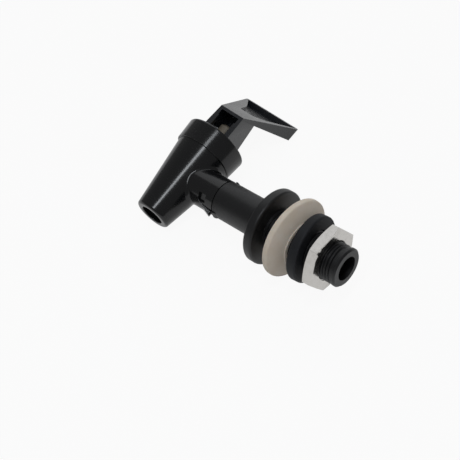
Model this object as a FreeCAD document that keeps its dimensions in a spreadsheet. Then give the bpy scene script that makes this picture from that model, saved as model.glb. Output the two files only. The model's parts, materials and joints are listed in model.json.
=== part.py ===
"""Self-closing faucet for a beverage dispenser, with its shank, gaskets and nut.

The origin is the centre of the shank's inlet end. +X leaves the shank through that
end, and +Z runs up the valve body, so the spout points down. Lengths are in mm.
"""
import FreeCAD, Part
import Sketcher
import os
import re

DIMENSIONS = [
    # shank
    ("shank_reach", 99.5),          # valve axis to inlet end
    ("thread_diameter", 19.05),     # three quarter inch thread
    ("tube_diameter", 19.05),
    ("inlet_bore", 11.9),
    ("inlet_chamfer", 0.8),
    ("flange_setback", 54.3),       # valve axis to the flange's near face
    ("flange_diameter", 37.4),
    ("flange_thickness", 5.0),
    ("flange_edge_radius", 1.2),
    ("hub_diameter", 20.8),
    ("hub_length", 1.2),
    ("tube_root_radius", 0.8),
    ("spigot_diameter", 15.0),
    ("spigot_length", 13.2),
    ("ring_wire", 1.4),             # section of the shank's sealing ring
    ("ring_setback", 5.2),          # collar end to the ring's centre
    ("lug_length", 2.2),
    ("lug_flat", 1.0),              # length of a lug before its ramp
    ("lug_width", 4.6),
    ("lug_height", 0.4),
    ("seam_gap", 0.3),              # collar end to the shank's shoulder
    ("seam_edge_radius", 0.3),
    # gaskets and nut
    ("wall_gasket_diameter", 39.6),
    ("wall_gasket_thickness", 3.3),
    ("wall_gasket_setback", 67.55), # valve axis to the gasket's near face
    ("wall_gasket_lean", 3.4),      # degrees, as it hangs loose on the thread
    ("wall_gasket_ride", 0.45),     # gasket centre above the shank's axis
    ("wall_gasket_edge_radius", 1.1),
    ("wall_gasket_hub_diameter", 24.0),  # centres the gasket in the wall's hole
    ("wall_gasket_hub_length", 3.7),
    ("wall_gasket_hub_root", 2.4),
    ("wall_gasket_hub_edge", 0.5),
    ("wall_gasket_clearance", 0.7),
    ("backing_diameter", 32.6),
    ("backing_thickness", 4.9),
    ("backing_lean", 3.9),          # degrees, the other way from the wall gasket
    ("backing_gap", 4.5),           # washer's middle to the nut, as it hangs loose
    ("backing_edge_radius", 1.0),
    ("nut_across_flats", 28.575),
    ("nut_thickness", 5.2),
    ("nut_bevel_inset", 0.4),       # bevel ring inside the flats
    ("nut_bevel_depth", 0.9),       # bevel at the corners
    ("nut_bore_chamfer", 0.5),
    ("nut_turn", -6.9),             # degrees, corner from straight up
    ("free_thread", 7.9),           # nut to the inlet end
    # valve body
    ("spout_drop", 25.8),           # shank axis to the outlet
    ("spout_diameter", 18.4),
    ("outlet_bore", 11.8),
    ("lip_radius", 1.4),
    ("outlet_edge_radius", 0.5),
    ("shoulder_diameter", 30.1),
    ("shoulder_rise", 13.3),        # shank axis to the shoulder under the bonnet
    ("body_wall", 2.4),
    ("chamber_rise", 8.5),          # shank axis to the top of the chamber's taper
    ("neck_diameter", 28.0),
    ("neck_height", 5.5),
    ("seat_drop", 9.0),             # shank axis to the valve seat
    ("seat_orifice", 9.2),
    ("seat_lip", 1.6),
    ("seat_flare", 1.5),
    ("collar_reach", 26.4),         # valve axis to the collar's end
    ("collar_root_radius", 2.2),
    ("catch_length", 9.9),          # wedge under the collar, root to collar end
    ("catch_setback", 1.1),
    ("catch_root_width", 10.4),
    ("catch_tip_width", 2.2),
    ("catch_rise", 1.75),
    ("catch_embed", 0.2),
    ("notch_setback", 4.4),         # collar end to the notch
    ("notch_length", 4.3),
    ("notch_width", 4.3),
    ("notch_depth", 1.3),
    ("notch_turn", 49.0),           # degrees, notch below the side of the collar
    # bonnet
    ("bonnet_diameter", 31.9),
    ("bonnet_top_diameter", 33.5),
    ("bonnet_height", 11.2),
    ("bonnet_roof", 2.4),
    ("bonnet_edge_radius", 1.0),
    ("skirt_edge_radius", 0.3),
    ("clamp_ring_width", 2.6),
    # valve parts
    ("stem_diameter", 8.4),
    ("stem_foot_diameter", 12.2),
    ("stem_foot_thickness", 1.6),
    ("stem_eye_width", 5.2),
    ("stem_eye_base", 1.4),         # bonnet roof to the foot of the eye's flats
    ("stem_crown", 3.0),            # pivot axis to the stem's top
    ("stem_bevel", 1.2),
    ("barb_diameter", 4.6),
    ("barb_head_diameter", 5.8),
    ("barb_length", 3.4),
    ("barb_head_length", 1.3),
    ("barb_point", 0.9),
    ("cup_diameter", 16.4),
    ("cup_wall", 1.0),
    ("cup_plug_height", 5.4),
    ("cup_plug_diameter", 12.6),
    ("cup_plug_bevel", 1.0),
    ("cup_flare", 1.4),
    ("cup_flange_thickness", 1.8),
    ("spring_wire", 1.0),
    ("spring_diameter", 10.6),      # to the middle of the wire
    ("slip_washer_diameter", 13.4),
    ("slip_washer_thickness", 0.8),
    # lever
    ("lever_swivel", 11.4),         # degrees, pivot axis from +X
    ("leg_front", 9.2),             # stem axis to the leg's open face
    ("leg_rear", 11.8),
    ("leg_rear_top", 7.2),
    ("leg_width", 14.0),
    ("leg_base_width", 15.1),
    ("leg_front_height", 14.5),     # bonnet roof to the fold
    ("leg_rear_height", 21.9),      # bonnet roof to the paddle's underside
    ("leg_embed", 1.5),
    ("leg_wall", 1.8),
    ("leg_corner_radius", 1.0),
    ("cheek_wall", 2.9),            # thicker walls beside the pivot
    ("cheek_height", 9.6),
    ("ceiling_front", 12.7),
    ("ceiling_rear", 17.5),
    ("paddle_run", 38.8),           # fold to the free end, on the level
    ("paddle_rise", 28.0),
    ("paddle_width", 35.4),
    ("paddle_fold_depth", 1.7),
    ("paddle_end_depth", 8.3),
    ("paddle_corner_radius", 1.2),
    ("tray_start", 2.9),            # fold to the start of the hollow
    ("tray_start_width", 11.2),
    ("tray_start_depth", 0.05),
    ("tray_bend", 21.2),            # fold to the middle of the hollow
    ("tray_wall", 1.5),
    ("tray_floor", 1.6),
    ("pin_diameter", 2.5),
    ("pin_rise", 6.2),              # bonnet roof to the pivot axis
    ("pin_seat", 1.1),              # depth of the pin's blind end
    ("pin_recess", 0.3),
    ("pin_chamfer", 0.25),
    # clearances
    ("fit_clearance", 0.05),        # turned and screwed fits, on the radius
    ("guide_clearance", 0.08),      # stem in the bonnet and the slip washer
    ("loose_clearance", 0.4),       # backing washer on the thread, on the radius
    ("face_gap", 0.15),             # faces that slide past each other
    ("rest_gap", 0.3),              # lever's foot above the bonnet
]
CUT_MARGIN = "5"                    # how far a cutting tool runs past the surface
SPRING_HALF_TURNS = 10

doc = FreeCAD.newDocument("BeverageFaucet")
sizes = doc.addObject("Spreadsheet::Sheet", "Sizes")
for row, (alias, number) in enumerate(DIMENSIONS, start=1):
    sizes.set(f"A{row}", alias.replace("_", " "))
    sizes.set(f"B{row}", str(number))
    sizes.setAlias(f"B{row}", alias)
doc.recompute()

ALIASES = re.compile(r"\b(" + "|".join(alias for alias, _ in DIMENSIONS) + r")\b")

# Levels and places that several pieces share, each worked out from the sheet.
VALVE_X = "-shank_reach"
ROOF = "(shoulder_rise + bonnet_height)"
CEILING = f"({ROOF} - bonnet_roof)"
NECK_TOP = "(shoulder_rise + neck_height)"
RIM_TOP = f"({NECK_TOP} + cup_flange_thickness)"
SEAT = "(-seat_drop)"
CUP_FLOOR = f"({SEAT} + cup_plug_height)"
FOOT_BASE = f"({CUP_FLOOR} + face_gap)"
FOOT_TOP = f"({FOOT_BASE} + stem_foot_thickness)"
SLIP_BASE = f"({CEILING} - face_gap - slip_washer_thickness)"
PIN_LEVEL = f"({ROOF} + pin_rise)"
LEVER_BASE = f"({ROOF} + rest_gap)"
FOLD = f"({ROOF} + leg_front_height)"
RIM_SLOPE = "(paddle_rise / paddle_run)"
SOCKET_RADIUS = "(spigot_diameter / 2 + fit_clearance)"
SHOULDER = "(collar_reach + seam_gap)"
BLIND_END = "(leg_base_width / 2 - cheek_wall + pin_seat)"
NUT_FACE = "(-free_thread - nut_thickness)"


def bound(formula):
    """Return a formula whose plain words point at the sheet's cells."""
    return ALIASES.sub(r"Sizes.\1", f"({formula})")


def value(formula):
    """Return what a formula on the sheet comes to, as a plain number."""
    result = sizes.evalExpression(bound(formula))
    return float(getattr(result, "Value", result))


def make_body(label):
    """Return a new, empty body that carries a sub-part's name."""
    body = doc.addObject("PartDesign::Body", label)
    body.Label = label
    return body


def origin_feature(body, role):
    """Return one of a body's own origin planes or axes by its role."""
    return next(item for item in body.Origin.OriginFeatures if item.Role == role)


def make_sketch(body, role, name, height="0", side="0", turn="0"):
    """Return a sketch on an origin plane, raised, shifted and tipped by formulas."""
    sketch = body.newObject("Sketcher::SketchObject", name)
    sketch.AttachmentSupport = [(origin_feature(body, role), "")]
    sketch.MapMode = "FlatFace"
    sketch.AttachmentOffset = FreeCAD.Placement(
        FreeCAD.Vector(0, value(side), value(height)),
        FreeCAD.Rotation(FreeCAD.Vector(1, 0, 0), value(turn)))
    sketch.setExpression("AttachmentOffset.Base.y", bound(side))
    sketch.setExpression("AttachmentOffset.Base.z", bound(height))
    sketch.setExpression("AttachmentOffset.Rotation.Angle", bound(turn))
    return sketch


def hold_point(sketch, edge, end, across, along, name):
    """Hold one end of a sketch edge at two formulas from the sketch's origin."""
    for kind, formula in (("DistanceX", across), ("DistanceY", along)):
        index = sketch.addConstraint(
            Sketcher.Constraint(kind, -1, 1, edge, end, value(formula)))
        sketch.renameConstraint(index, f"{name}_{kind[-1]}")
        sketch.setExpression(f"Constraints.{name}_{kind[-1]}", bound(formula))


def draw_outline(sketch, corners):
    """Draw a closed outline through corners given as formulas.

    A corner is a pair of formulas. A third one rounds a square corner by that radius.
    """
    count = len(corners)
    spots = [FreeCAD.Vector(value(corner[0]), value(corner[1]), 0) for corner in corners]
    ends = []
    for i, (across, along, *radius) in enumerate(corners):
        if not radius:
            ends.append([(across, along)] * 2)
            continue
        sides = [(spots[j % count] - spots[i]).normalize() for j in (i - 1, i + 1)]
        ends.append([(f"{across} + {side.x:.0f} * {radius[0]}", f"{along} + {side.y:.0f} * {radius[0]}")
                     for side in sides])
    places = [[FreeCAD.Vector(value(across), value(along), 0) for across, along in pair]
              for pair in ends]
    edges = [sketch.addGeometry(
        Part.LineSegment(places[i][1], places[(i + 1) % count][0]), False) for i in range(count)]
    for i, edge in enumerate(edges):
        before = edges[i - 1]
        hold_point(sketch, edge, 1, *ends[i][1], f"start{i}")
        if len(corners[i]) == 2:
            sketch.addConstraint(Sketcher.Constraint("Coincident", before, 2, edge, 1))
            continue
        hold_point(sketch, before, 2, *ends[i][0], f"finish{i}")
        first, last = places[i]
        centre = first + last - spots[i]
        middle = centre + (spots[i] - centre).normalize() * (first - centre).Length
        arc = sketch.addGeometry(Part.Arc(first, middle, last), False)
        sketch.addConstraint(Sketcher.Constraint("Coincident", before, 2, arc, 1))
        sketch.addConstraint(Sketcher.Constraint("Coincident", arc, 2, edge, 1))
        index = sketch.addConstraint(
            Sketcher.Constraint("Radius", arc, (first - centre).Length))
        sketch.renameConstraint(index, f"round{i}")
        sketch.setExpression(f"Constraints.round{i}", bound(corners[i][2]))


def draw_circle(sketch, diameter, across="0", along="0"):
    """Draw a circle with its diameter and centre held by formulas."""
    centre = FreeCAD.Vector(value(across), value(along), 0)
    edge = sketch.addGeometry(
        Part.Circle(centre, FreeCAD.Vector(0, 0, 1), value(diameter) / 2), False)
    index = sketch.addConstraint(Sketcher.Constraint("Diameter", edge, value(diameter)))
    sketch.renameConstraint(index, "width")
    sketch.setExpression("Constraints.width", bound(diameter))
    hold_point(sketch, edge, 3, across, along, "centre")


def rectangle(low_across, high_across, low_along, high_along):
    """Return the four corners of an upright rectangle as pairs of formulas."""
    return [(low_across, low_along), (high_across, low_along),
            (high_across, high_along), (low_across, high_along)]


def settle(body, feature, cut):
    """Recompute a new feature and make sure that a cut really took something away."""
    before = feature.BaseFeature.Shape.Volume if cut else 0.0
    doc.recompute()
    if cut and not feature.Shape.Volume < before - 0.001:
        raise RuntimeError(f"{body.Label}: {feature.Label} cut nothing")
    return feature


def revolve(body, name, sketch, cut=False):
    """Turn a sketch once around the body's Z axis, as a solid or as a cut."""
    feature = body.newObject("PartDesign::Groove" if cut else "PartDesign::Revolution", name)
    feature.Profile = sketch
    feature.ReferenceAxis = (origin_feature(body, "Z_Axis"), [""])
    feature.Angle = 360
    return settle(body, feature, cut)


def turn_outline(body, name, corners, cut=False):
    """Turn an outline of radius and height pairs around the body's Z axis."""
    sketch = make_sketch(body, "XZ_Plane", f"{name}_profile")
    draw_outline(sketch, corners)
    return revolve(body, name, sketch, cut)


def extrude(body, name, sketch, length, cut=False, centred=False, backwards=False):
    """Pad or pocket a sketch by a formula's length."""
    feature = body.newObject("PartDesign::Pocket" if cut else "PartDesign::Pad", name)
    feature.Profile = sketch
    feature.setExpression("Length", bound(length))
    feature.Midplane = centred
    feature.Reversed = backwards
    return settle(body, feature, cut)


def loft(body, name, sketches, cut=False, ruled=True):
    """Loft through sketches, as a solid or as a hollow."""
    kind = "PartDesign::SubtractiveLoft" if cut else "PartDesign::AdditiveLoft"
    feature = body.newObject(kind, name)
    feature.Profile = sketches[0]
    feature.Sections = sketches[1:]
    feature.Ruled = ruled
    return settle(body, feature, cut)


def soften(body, name, chosen, radius, chamfer=False):
    """Round or chamfer the edges of the body's tip that a test chooses."""
    base = body.Tip
    names = [f"Edge{i}" for i, edge in enumerate(base.Shape.Edges, start=1) if chosen(edge)]
    if not names:
        raise ValueError(f"{body.Label}: no edge found for {name}")
    feature = body.newObject("PartDesign::Chamfer" if chamfer else "PartDesign::Fillet", name)
    feature.Base = (base, names)
    feature.setExpression("Size" if chamfer else "Radius", bound(radius))
    doc.recompute()
    return feature


def round_edge(radius, level=None):
    """Return a test for a round edge of a radius, at a level on the Z axis if given."""
    wanted = value(radius)
    height = None if level is None else value(level)

    def test(edge):
        curve = edge.Curve
        return (isinstance(curve, Part.Circle) and abs(curve.Radius - wanted) < 0.005
                and (height is None or abs(curve.Center.z - height) < 0.005))

    return test


def edge_through(*points):
    """Return a test for an edge that passes through one of the given points."""
    places = [FreeCAD.Vector(*(value(formula) for formula in point)) for point in points]

    def test(edge):
        return any(edge.distToShape(Part.Vertex(spot))[0] < 0.005 for spot in places)

    return test


def place(body, x="0", z="0", axis=(0, 0, 1), angle="0"):
    """Place a body, with its position and turn held by formulas."""
    body.Placement = FreeCAD.Placement(
        FreeCAD.Vector(value(x), 0, value(z)),
        FreeCAD.Rotation(FreeCAD.Vector(*axis), value(angle)))
    body.setExpression("Placement.Base.x", bound(x))
    body.setExpression("Placement.Base.z", bound(z))
    body.setExpression("Placement.Rotation.Angle", bound(angle))


def place_along_shank(body, x, z="0", angle="90"):
    """Turn a body's own Z axis onto the shank's axis and set its base at x."""
    place(body, x, z, (0, 1, 0), angle)


def make_faucet_body():
    """Model the tapered valve body with its side collar, seat and waterway."""
    body = make_body("faucet_body")
    taper = ("((shoulder_diameter - spout_diameter) / 2"
             " / (shoulder_rise + spout_drop))")
    seat_wall = f"spout_diameter / 2 + {taper} * (spout_drop - seat_drop) - body_wall"
    turn_outline(body, "OuterForm", [
        ("0", "-spout_drop"), ("spout_diameter / 2", "-spout_drop"),
        ("shoulder_diameter / 2", "shoulder_rise"), ("neck_diameter / 2", "shoulder_rise"),
        ("neck_diameter / 2", NECK_TOP), ("0", NECK_TOP)])
    sketch = make_sketch(body, "YZ_Plane", "Collar_profile")
    draw_circle(sketch, "tube_diameter")
    extrude(body, "Collar", sketch, "collar_reach")
    soften(body, "CollarRoot", lambda edge: not isinstance(edge.Curve, (Part.Circle, Part.Line)),
           "collar_root_radius")
    soften(body, "SpoutLip", round_edge("spout_diameter / 2", "-spout_drop"), "lip_radius")
    chamber = "neck_diameter / 2 - body_wall"
    turn_outline(body, "Waterway", [
        ("0", "-spout_drop - 1"), ("outlet_bore / 2", "-spout_drop - 1"),
        ("outlet_bore / 2", f"{SEAT} - seat_lip - seat_flare"),
        ("seat_orifice / 2", f"{SEAT} - seat_lip"), ("seat_orifice / 2", SEAT),
        (seat_wall, SEAT), (chamber, "chamber_rise"),
        (chamber, f"{NECK_TOP} + 1"), ("0", f"{NECK_TOP} + 1")], cut=True)
    soften(body, "OutletEdge", round_edge("outlet_bore / 2", "-spout_drop"),
           "outlet_edge_radius")
    sketch = make_sketch(body, "YZ_Plane", "Socket_profile", "collar_reach")
    draw_circle(sketch, f"{SOCKET_RADIUS} * 2")
    extrude(body, "Socket", sketch, "spigot_length + face_gap", cut=True)
    sketch = make_sketch(body, "YZ_Plane", "Port_profile", "collar_reach")
    draw_circle(sketch, "inlet_bore")
    extrude(body, "Port", sketch, "collar_reach", cut=True)
    flush = "sqrt(tube_diameter ^ 2 - catch_root_width ^ 2) / 2"
    sections = []
    for name, back, width, drop in (
            ("CatchRoot", "catch_length", "catch_root_width", flush),
            ("CatchTip", "catch_setback", "catch_tip_width", "tube_diameter / 2 + catch_rise")):
        sketch = make_sketch(body, "YZ_Plane", name, f"collar_reach - {back}")
        draw_outline(sketch, rectangle(
            f"-{width} / 2", f"{width} / 2", f"-({drop})", f"-({flush}) + catch_embed"))
        sections.append(sketch)
    loft(body, "Catch", sections)
    sketch = make_sketch(
        body, "XZ_Plane", "Notch_profile", "tube_diameter / 2 * cos(notch_turn * 1 deg)",
        "-tube_diameter / 2 * sin(notch_turn * 1 deg)", "notch_turn")
    draw_outline(sketch, rectangle(
        "collar_reach - notch_setback - notch_length", "collar_reach - notch_setback",
        "-notch_width / 2", "notch_width / 2"))
    notch = extrude(body, "Notch", sketch, "notch_depth", cut=True)
    mirror = body.newObject("PartDesign::Mirrored", "NotchPair")
    mirror.Originals = [notch]
    mirror.MirrorPlane = (origin_feature(body, "XZ_Plane"), [""])
    body.Tip = mirror
    doc.recompute()
    place(body, VALVE_X)
    return body


def make_bonnet():
    """Model the screw cap that clamps the seat cup and guides the stem."""
    body = make_body("bonnet_cap")
    bore = "(neck_diameter / 2 + fit_clearance)"
    guide = "stem_diameter / 2 + guide_clearance"
    ring_inner = f"{bore} - clamp_ring_width"
    turn_outline(body, "Cap", [
        (guide, CEILING), (ring_inner, CEILING), (ring_inner, RIM_TOP), (bore, RIM_TOP),
        (bore, "shoulder_rise"), ("bonnet_diameter / 2", "shoulder_rise"),
        ("bonnet_top_diameter / 2", ROOF), (guide, ROOF)])
    soften(body, "TopEdge", round_edge("bonnet_top_diameter / 2", ROOF), "bonnet_edge_radius")
    soften(body, "SkirtEdge", round_edge("bonnet_diameter / 2", "shoulder_rise"),
           "skirt_edge_radius")
    place(body, VALVE_X)
    return body


def make_seat_cup():
    """Model the silicone cup whose plug closes the seat and whose rim is clamped."""
    body = make_body("seat_cup")
    outer = "cup_diameter / 2"
    inner = "cup_diameter / 2 - cup_wall"
    rim = "neck_diameter / 2 - rest_gap"
    plug = "cup_plug_diameter / 2"
    socket = "barb_diameter / 2 + fit_clearance"
    socket_head = "barb_head_diameter / 2 + fit_clearance"
    socket_base = f"{CUP_FLOOR} - barb_length - face_gap"
    socket_step = f"{CUP_FLOOR} - barb_length + barb_head_length + face_gap * 2"
    turn_outline(body, "Cup", [
        ("0", SEAT), (f"{plug} - cup_plug_bevel", SEAT), (plug, f"{SEAT} + cup_plug_bevel"),
        (plug, f"{CUP_FLOOR} - cup_flare"), (outer, f"{CUP_FLOOR} + cup_flare"),
        (outer, NECK_TOP), (rim, NECK_TOP), (rim, RIM_TOP), (inner, RIM_TOP),
        (inner, CUP_FLOOR), (socket, CUP_FLOOR), (socket, socket_step),
        (socket_head, socket_step), (socket_head, socket_base), ("0", socket_base)])
    place(body, VALVE_X)
    return body


def make_stem():
    """Model the lift stem, with its barb, spring foot and flattened eye."""
    body = make_body("valve_stem")
    shaft = "stem_diameter / 2"
    foot = "stem_foot_diameter / 2"
    barb_base = f"({FOOT_BASE} - barb_length)"
    barb_top = f"{barb_base} + barb_head_length"
    top = f"({PIN_LEVEL} + stem_crown)"
    turn_outline(body, "Shaft", [
        ("0", barb_base), ("barb_head_diameter / 2 - barb_point", barb_base),
        ("barb_head_diameter / 2", barb_top), ("barb_diameter / 2", barb_top),
        ("barb_diameter / 2", FOOT_BASE), (foot, FOOT_BASE), (foot, FOOT_TOP),
        (shaft, FOOT_TOP), (shaft, f"{top} - stem_bevel"), (f"{shaft} - stem_bevel", top),
        ("0", top)])
    for name, low, high in (
            ("LeftFlat", f"-{shaft} - {CUT_MARGIN}", "-stem_eye_width / 2"),
            ("RightFlat", "stem_eye_width / 2", f"{shaft} + {CUT_MARGIN}")):
        sketch = make_sketch(body, "XZ_Plane", f"{name}_profile")
        draw_outline(sketch, rectangle(
            low, high, f"{ROOF} + stem_eye_base", f"{top} + {CUT_MARGIN}"))
        extrude(body, name, sketch, f"stem_diameter + {CUT_MARGIN}", cut=True, centred=True)
    sketch = make_sketch(body, "YZ_Plane", "Eye_profile")
    draw_circle(sketch, "pin_diameter + fit_clearance * 2", "0", PIN_LEVEL)
    extrude(body, "Eye", sketch, f"stem_diameter + {CUT_MARGIN}", cut=True, centred=True)
    place(body, VALVE_X, angle="lever_swivel")
    return body


def make_slip_washer():
    """Model the washer between the spring and the bonnet's ceiling."""
    body = make_body("slip_washer")
    inner = "stem_diameter / 2 + guide_clearance * 2"
    turn_outline(body, "Disc", rectangle(
        inner, "slip_washer_diameter / 2", SLIP_BASE, f"{SLIP_BASE} + slip_washer_thickness"))
    place(body, VALVE_X)
    return body


def make_spring():
    """Model the closing spring as round wire in half turns, each a ring tilted to climb."""
    start = f"({FOOT_TOP} + face_gap + spring_wire / 2)"
    length = f"({SLIP_BASE} - {FOOT_TOP} - spring_wire - face_gap * 2)"
    climb = f"({length} / {SPRING_HALF_TURNS})"
    halves = []
    for index in range(SPRING_HALF_TURNS):
        side = 1 if index % 2 == 0 else -1
        wire = doc.addObject("Part::Circle", f"SpringWire{index}")
        wire.setExpression("Radius", bound("spring_wire / 2"))
        wire.Placement.Rotation = FreeCAD.Rotation(FreeCAD.Vector(1, 0, 0), 90)
        wire.setExpression("Placement.Base.x", bound(f"{VALVE_X} + {side} * spring_diameter / 2"))
        wire.setExpression("Placement.Base.z", bound(f"{start} + {climb} * {index}"))
        half = doc.addObject("Part::Revolution", f"SpringHalf{index}")
        half.Source = wire
        half.Angle = 180
        half.Solid = True
        half.setExpression("Axis.x", bound(f"{side} * {climb} / 2"))
        half.setExpression("Axis.z", bound("spring_diameter / 2"))
        half.setExpression("Base.x", bound(VALVE_X))
        half.setExpression("Base.z", bound(f"{start} + {climb} * ({index} + 0.5)"))
        halves.append(half)
    spring = doc.addObject("Part::MultiFuse", "return_spring")
    spring.Label = "return_spring"
    spring.Shapes = halves
    doc.recompute()
    return spring


def make_shank():
    """Model the shank: spigot with its ring groove, tube, flange, thread and lugs."""
    body = make_body("shank")
    start = "(collar_reach - spigot_length)"
    tube, thread, spigot = "tube_diameter / 2", "thread_diameter / 2", "spigot_diameter / 2"
    groove = f"{spigot} - ring_wire"
    groove_low = "collar_reach - ring_setback - ring_wire / 2 - face_gap"
    groove_high = "collar_reach - ring_setback + ring_wire / 2 + face_gap"
    bore = "inlet_bore / 2"
    hub = "flange_setback + flange_thickness"
    turn_outline(body, "Turned", [
        (bore, start), (spigot, start), (spigot, groove_low), (groove, groove_low),
        (groove, groove_high), (spigot, groove_high), (spigot, SHOULDER), (tube, SHOULDER),
        (tube, "flange_setback"), ("flange_diameter / 2", "flange_setback"),
        ("flange_diameter / 2", hub), ("hub_diameter / 2", hub),
        ("hub_diameter / 2", f"{hub} + hub_length"), (thread, f"{hub} + hub_length"),
        (thread, "shank_reach - inlet_chamfer"), (f"{thread} - inlet_chamfer", "shank_reach"),
        (bore, "shank_reach")])
    soften(body, "FlangeEdges", round_edge("flange_diameter / 2"), "flange_edge_radius")
    soften(body, "TubeRoot", round_edge(tube, "flange_setback"), "tube_root_radius")
    soften(body, "ShoulderEdge", round_edge(tube, SHOULDER), "seam_edge_radius")
    for name, side in (("UpperLug", "-1"), ("LowerLug", "1")):
        sketch = make_sketch(body, "XZ_Plane", f"{name}_profile")
        root = f"{side} * ({tube} - lug_height)"
        crest = f"{side} * ({tube} + lug_height)"
        draw_outline(sketch, [
            (root, SHOULDER), (crest, SHOULDER), (crest, f"{SHOULDER} + lug_flat"),
            (f"{side} * {tube}", f"{SHOULDER} + lug_length"), (root, f"{SHOULDER} + lug_length")])
        extrude(body, name, sketch, "lug_width", centred=True)
    place_along_shank(body, VALVE_X)
    return body


def make_shank_ring():
    """Model the sealing ring in the spigot's groove."""
    body = make_body("shank_o_ring")
    sketch = make_sketch(body, "XZ_Plane", "Ring_profile")
    draw_circle(sketch, "ring_wire", "spigot_diameter / 2 - ring_wire / 2")
    revolve(body, "Ring", sketch)
    place_along_shank(body, f"{VALVE_X} + collar_reach - ring_setback")
    return body


def make_wall_gasket():
    """Model the pale gasket that seals the flange to the dispenser's wall."""
    body = make_body("wall_gasket")
    bore = "thread_diameter / 2 + wall_gasket_clearance"
    rim, hub = "wall_gasket_diameter / 2", "wall_gasket_hub_diameter / 2"
    hub_end = "wall_gasket_thickness + wall_gasket_hub_length"
    turn_outline(body, "Disc", [
        (bore, "0"), (rim, "0"), (rim, "wall_gasket_thickness"),
        (hub, "wall_gasket_thickness"), (hub, hub_end), (bore, hub_end)])
    soften(body, "RimEdges", round_edge(rim), "wall_gasket_edge_radius")
    soften(body, "HubRoot", round_edge(hub, "wall_gasket_thickness"), "wall_gasket_hub_root")
    soften(body, "HubEdge", round_edge(hub, hub_end), "wall_gasket_hub_edge")
    place_along_shank(body, f"{VALVE_X} + wall_gasket_setback", "wall_gasket_ride",
                      "90 + wall_gasket_lean")
    return body


def make_backing_washer():
    """Model the thick rubber washer between the wall and the nut."""
    body = make_body("backing_washer")
    turn_outline(body, "Disc", rectangle(
        "thread_diameter / 2 + loose_clearance", "backing_diameter / 2",
        "0", "backing_thickness"))
    soften(body, "Edges", round_edge("backing_diameter / 2"), "backing_edge_radius")
    place_along_shank(body, f"{NUT_FACE} - backing_gap - backing_thickness",
                      "-backing_thickness / 2 * sin(backing_lean * 1 deg)", "90 - backing_lean")
    return body


def make_nut():
    """Model the hexagon nut with its corners bevelled on both faces."""
    body = make_body("hex_nut")
    sketch = make_sketch(body, "XY_Plane", "Hexagon")
    corner = "(nut_across_flats / 2 / cos(30 deg))"
    draw_outline(sketch, [
        (f"{corner} * cos({60 * i} deg + nut_turn * 1 deg)",
         f"{corner} * sin({60 * i} deg + nut_turn * 1 deg)") for i in range(6)])
    extrude(body, "Prism", sketch, "nut_thickness")
    ring = "(nut_across_flats / 2 - nut_bevel_inset)"
    slope = f"(nut_bevel_depth / ({corner} - {ring}))"
    outside = f"{ring} + {CUT_MARGIN}"
    for name, face, inward in (("OuterBevel", "nut_thickness", "-1"), ("InnerBevel", "0", "1")):
        turn_outline(body, name, [
            (ring, face), (outside, f"{face} + {inward} * {slope} * {CUT_MARGIN}"),
            (outside, f"{face} - {inward} * {CUT_MARGIN}"),
            (ring, f"{face} - {inward} * {CUT_MARGIN}")], cut=True)
    sketch = make_sketch(body, "XY_Plane", "Thread_bore")
    bore = "thread_diameter / 2 + fit_clearance"
    draw_circle(sketch, f"({bore}) * 2")
    extrude(body, "ThreadBore", sketch, "nut_thickness", cut=True, backwards=True)
    soften(body, "Countersinks", round_edge(bore), "nut_bore_chamfer", chamfer=True)
    place_along_shank(body, NUT_FACE)
    return body


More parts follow.
